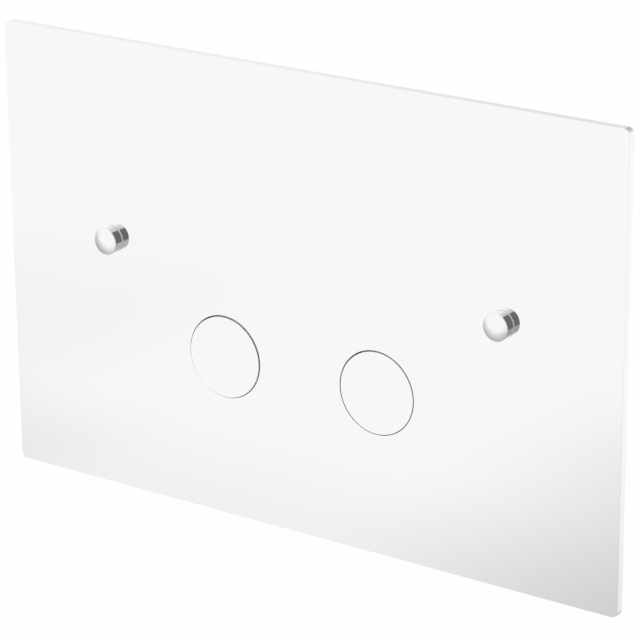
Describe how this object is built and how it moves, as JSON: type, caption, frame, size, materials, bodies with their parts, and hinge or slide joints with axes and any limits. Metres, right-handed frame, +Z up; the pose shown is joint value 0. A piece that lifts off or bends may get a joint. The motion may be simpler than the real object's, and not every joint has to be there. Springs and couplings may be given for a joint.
{
  "type": "flush button plate",
  "caption": "Mirror-chrome wall plate for a cistern inside a wall, with sprung round flush buttons almost level with its face, push rods behind it and domed fixing caps on threaded studs.",
  "frame": {"origin": "middle of the plate on the wall plane, where the plate's rim lies on the wall", "axes": "+X to the right of someone facing the plate, +Y into the wall, +Z up; the visible face looks towards -Y"},
  "size_m": [0.235, 0.0849, 0.154],
  "materials": {
    "mirror_chrome": "mirror polished chrome plate",
    "carrier_plastic": "fine spark-eroded moulding texture",
    "white_acetal": "satin moulded acetal",
    "washer_nylon": "satin natural nylon",
    "spring_steel": "drawn stainless spring wire",
    "bright_steel": "bright rolled stainless steel",
    "brass": "machined brass",
    "tip_rubber": "matt moulded rubber"
  },
  "bodies": {
    "plate_assembly": {"face_plate": "mirror_chrome", "button_carrier": "carrier_plastic", "half_flush_spring": "spring_steel", "full_flush_spring": "spring_steel", "upper_left_carrier_screw": "bright_steel", "upper_right_carrier_screw": "bright_steel", "lower_left_carrier_screw": "bright_steel", "lower_right_carrier_screw": "bright_steel", "left_fixing_cap": "mirror_chrome", "left_fixing_washer": "washer_nylon", "left_fixing_stud": "bright_steel", "right_fixing_cap": "mirror_chrome", "right_fixing_washer": "washer_nylon", "right_fixing_stud": "bright_steel"},
    "half_flush_pusher": {"half_flush_button": "mirror_chrome", "half_flush_plunger": "white_acetal", "half_flush_push_rod": "bright_steel", "half_flush_lock_nut": "brass", "half_flush_rod_tip": "tip_rubber"},
    "full_flush_pusher": {"full_flush_button": "mirror_chrome", "full_flush_plunger": "white_acetal", "full_flush_push_rod": "bright_steel", "full_flush_lock_nut": "brass", "full_flush_rod_tip": "tip_rubber"}
  },
  "joints": [
    {"name": "half_flush_press", "type": "slide", "parent": "plate_assembly", "child": "half_flush_pusher", "axis": [0, 1, 0], "range_m": [0, 0.005], "stiffness_N_per_m": 600, "springref_m": -0.005, "deforming": ["half_flush_spring"]},
    {"name": "full_flush_press", "type": "slide", "parent": "plate_assembly", "child": "full_flush_pusher", "axis": [0, 1, 0], "range_m": [0, 0.005], "stiffness_N_per_m": 600, "springref_m": -0.005, "deforming": ["full_flush_spring"]}
  ]
}
